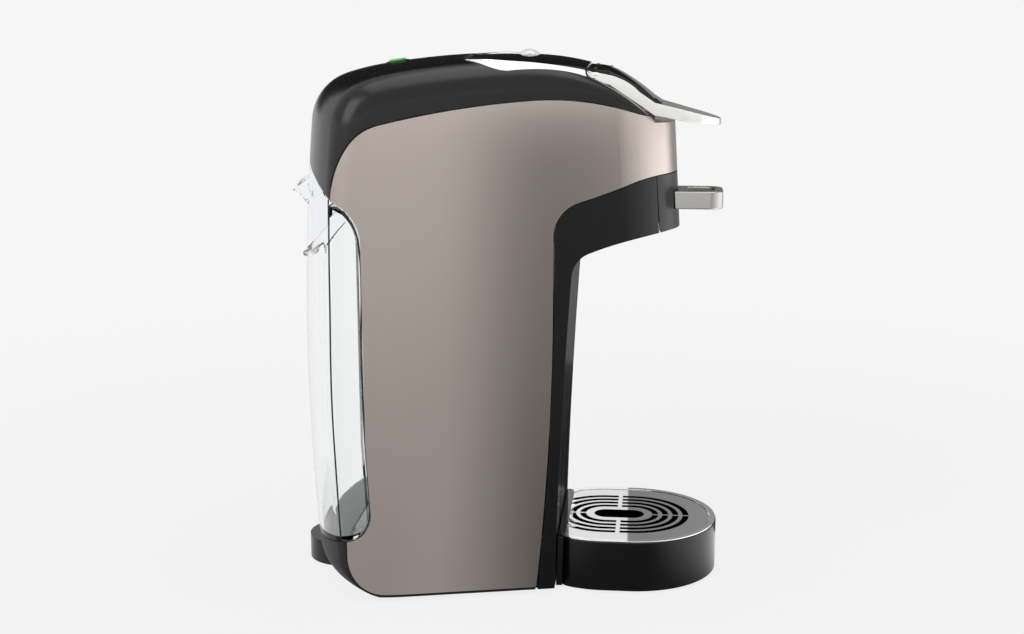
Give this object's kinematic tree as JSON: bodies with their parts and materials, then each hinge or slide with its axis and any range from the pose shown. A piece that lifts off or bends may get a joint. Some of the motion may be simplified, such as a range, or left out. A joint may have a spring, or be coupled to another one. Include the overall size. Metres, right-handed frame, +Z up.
{
  "type": "pod coffee machine",
  "caption": "Upright pod coffee machine with a lever-clamped pod drawer, a clear tilt-out rear water tank and a height-adjustable round drip tray.",
  "frame": {"origin": "on the table under the middle of the machine's bounding box", "axes": "+X towards the front where the cup stands, +Y to the machine's left, +Z up"},
  "size_m": [0.261, 0.16, 0.3219],
  "materials": {
    "black_shell": "satin black moulding",
    "black_matte": "matte black moulding",
    "black_gloss": "gloss black",
    "panel_metal": "taupe metallic, satin",
    "satin_chrome": "satin chrome plate",
    "bright_chrome": "bright chrome plate",
    "polished_steel": "polished",
    "steel": "plain",
    "clear_plastic": "clear moulding",
    "green_lens": "translucent lens",
    "grey_plastic": "plain",
    "black_rubber": "plain",
    "seal_rubber": "silicone",
    "board_green": "circuit board",
    "heater_aluminium": "cast",
    "clear_hose": "silicone hose"
  },
  "bodies": {
    "housing": {"top_shell": "black_shell", "left_panel": "panel_metal", "right_panel": "panel_metal", "front_trim": "black_shell", "column_front": "black_shell", "hinge_pin": "steel", "band_rear": "bright_chrome", "top_panel": "black_gloss", "button_board": "board_green", "brew_head": "black_matte", "screws": "steel", "base": "black_matte", "rear_foot": "black_matte", "cord_gland": "black_rubber", "rubber_feet": "black_rubber", "tank_dock": "grey_plastic", "dock_seal": "seal_rubber", "chassis": "steel", "pump": "grey_plastic", "pump_mounts": "black_rubber", "thermoblock": "heater_aluminium", "flow_meter": "grey_plastic", "suction_hose": "clear_hose", "pressure_hose": "clear_hose", "control_board": "board_green", "delivery_hose": "clear_hose"},
    "lever": {"lever_frame": "satin_chrome", "lever_insert": "black_gloss"},
    "injector": {"injector": "grey_plastic", "needle": "steel", "injector_seal": "seal_rubber"},
    "pod_drawer": {"pod_holder": "black_matte", "holder_front": "black_shell", "holder_grip": "satin_chrome"},
    "tray": {"drip_tray": "black_shell", "tray_rim": "bright_chrome", "tray_hooks": "black_matte"},
    "grille": {"drip_grille": "polished_steel"},
    "tank": {"water_tank": "clear_plastic", "tank_valve": "grey_plastic", "flap_pin": "steel"},
    "flap": {"tank_flap": "clear_plastic"},
    "start_key": {"start_button": "clear_plastic"},
    "power_key": {"power_button": "green_lens"}
  },
  "joints": [
    {"name": "lever_hinge", "type": "hinge", "parent": "housing", "child": "lever", "pos_m": [0.053, 0, 0.3106], "axis": [0, -1, 0], "range_deg": [0, 75]},
    {"name": "injector_slide", "type": "slide", "parent": "housing", "child": "injector", "axis": [0, 0, 1], "range_m": [0, 0.0081]},
    {"name": "pod_drawer_slide", "type": "slide", "parent": "housing", "child": "pod_drawer", "axis": [1, 0, 0], "range_m": [0, 0.11]},
    {"name": "tray_height", "type": "slide", "parent": "housing", "child": "tray", "axis": [0.029, 0, 0.9996], "range_m": [0, 0.06]},
    {"name": "grille_lift", "type": "slide", "parent": "tray", "child": "grille", "axis": [0, 0, 1], "range_m": [0, 0.05]},
    {"name": "tank_tilt", "type": "hinge", "parent": "housing", "child": "tank", "pos_m": [-0.12, 0, 0.0259], "axis": [0, -1, 0], "range_deg": [0, 20]},
    {"name": "flap_hinge", "type": "hinge", "parent": "tank", "child": "flap", "pos_m": [-0.1238, 0, 0.1981], "axis": [0, -1, 0], "range_deg": [0, 35]},
    {"name": "start_press", "type": "slide", "parent": "housing", "child": "start_key", "axis": [0, 0, -1], "range_m": [0, 0.0015], "stiffness_N_per_m": 800},
    {"name": "power_press", "type": "slide", "parent": "housing", "child": "power_key", "axis": [0.1461, 0, -0.9893], "range_m": [0, 0.001], "stiffness_N_per_m": 800}
  ],
  "couplings": [
    {"joint": "injector_slide", "follows": "lever_hinge", "m_per_rad": 0.006112}
  ]
}
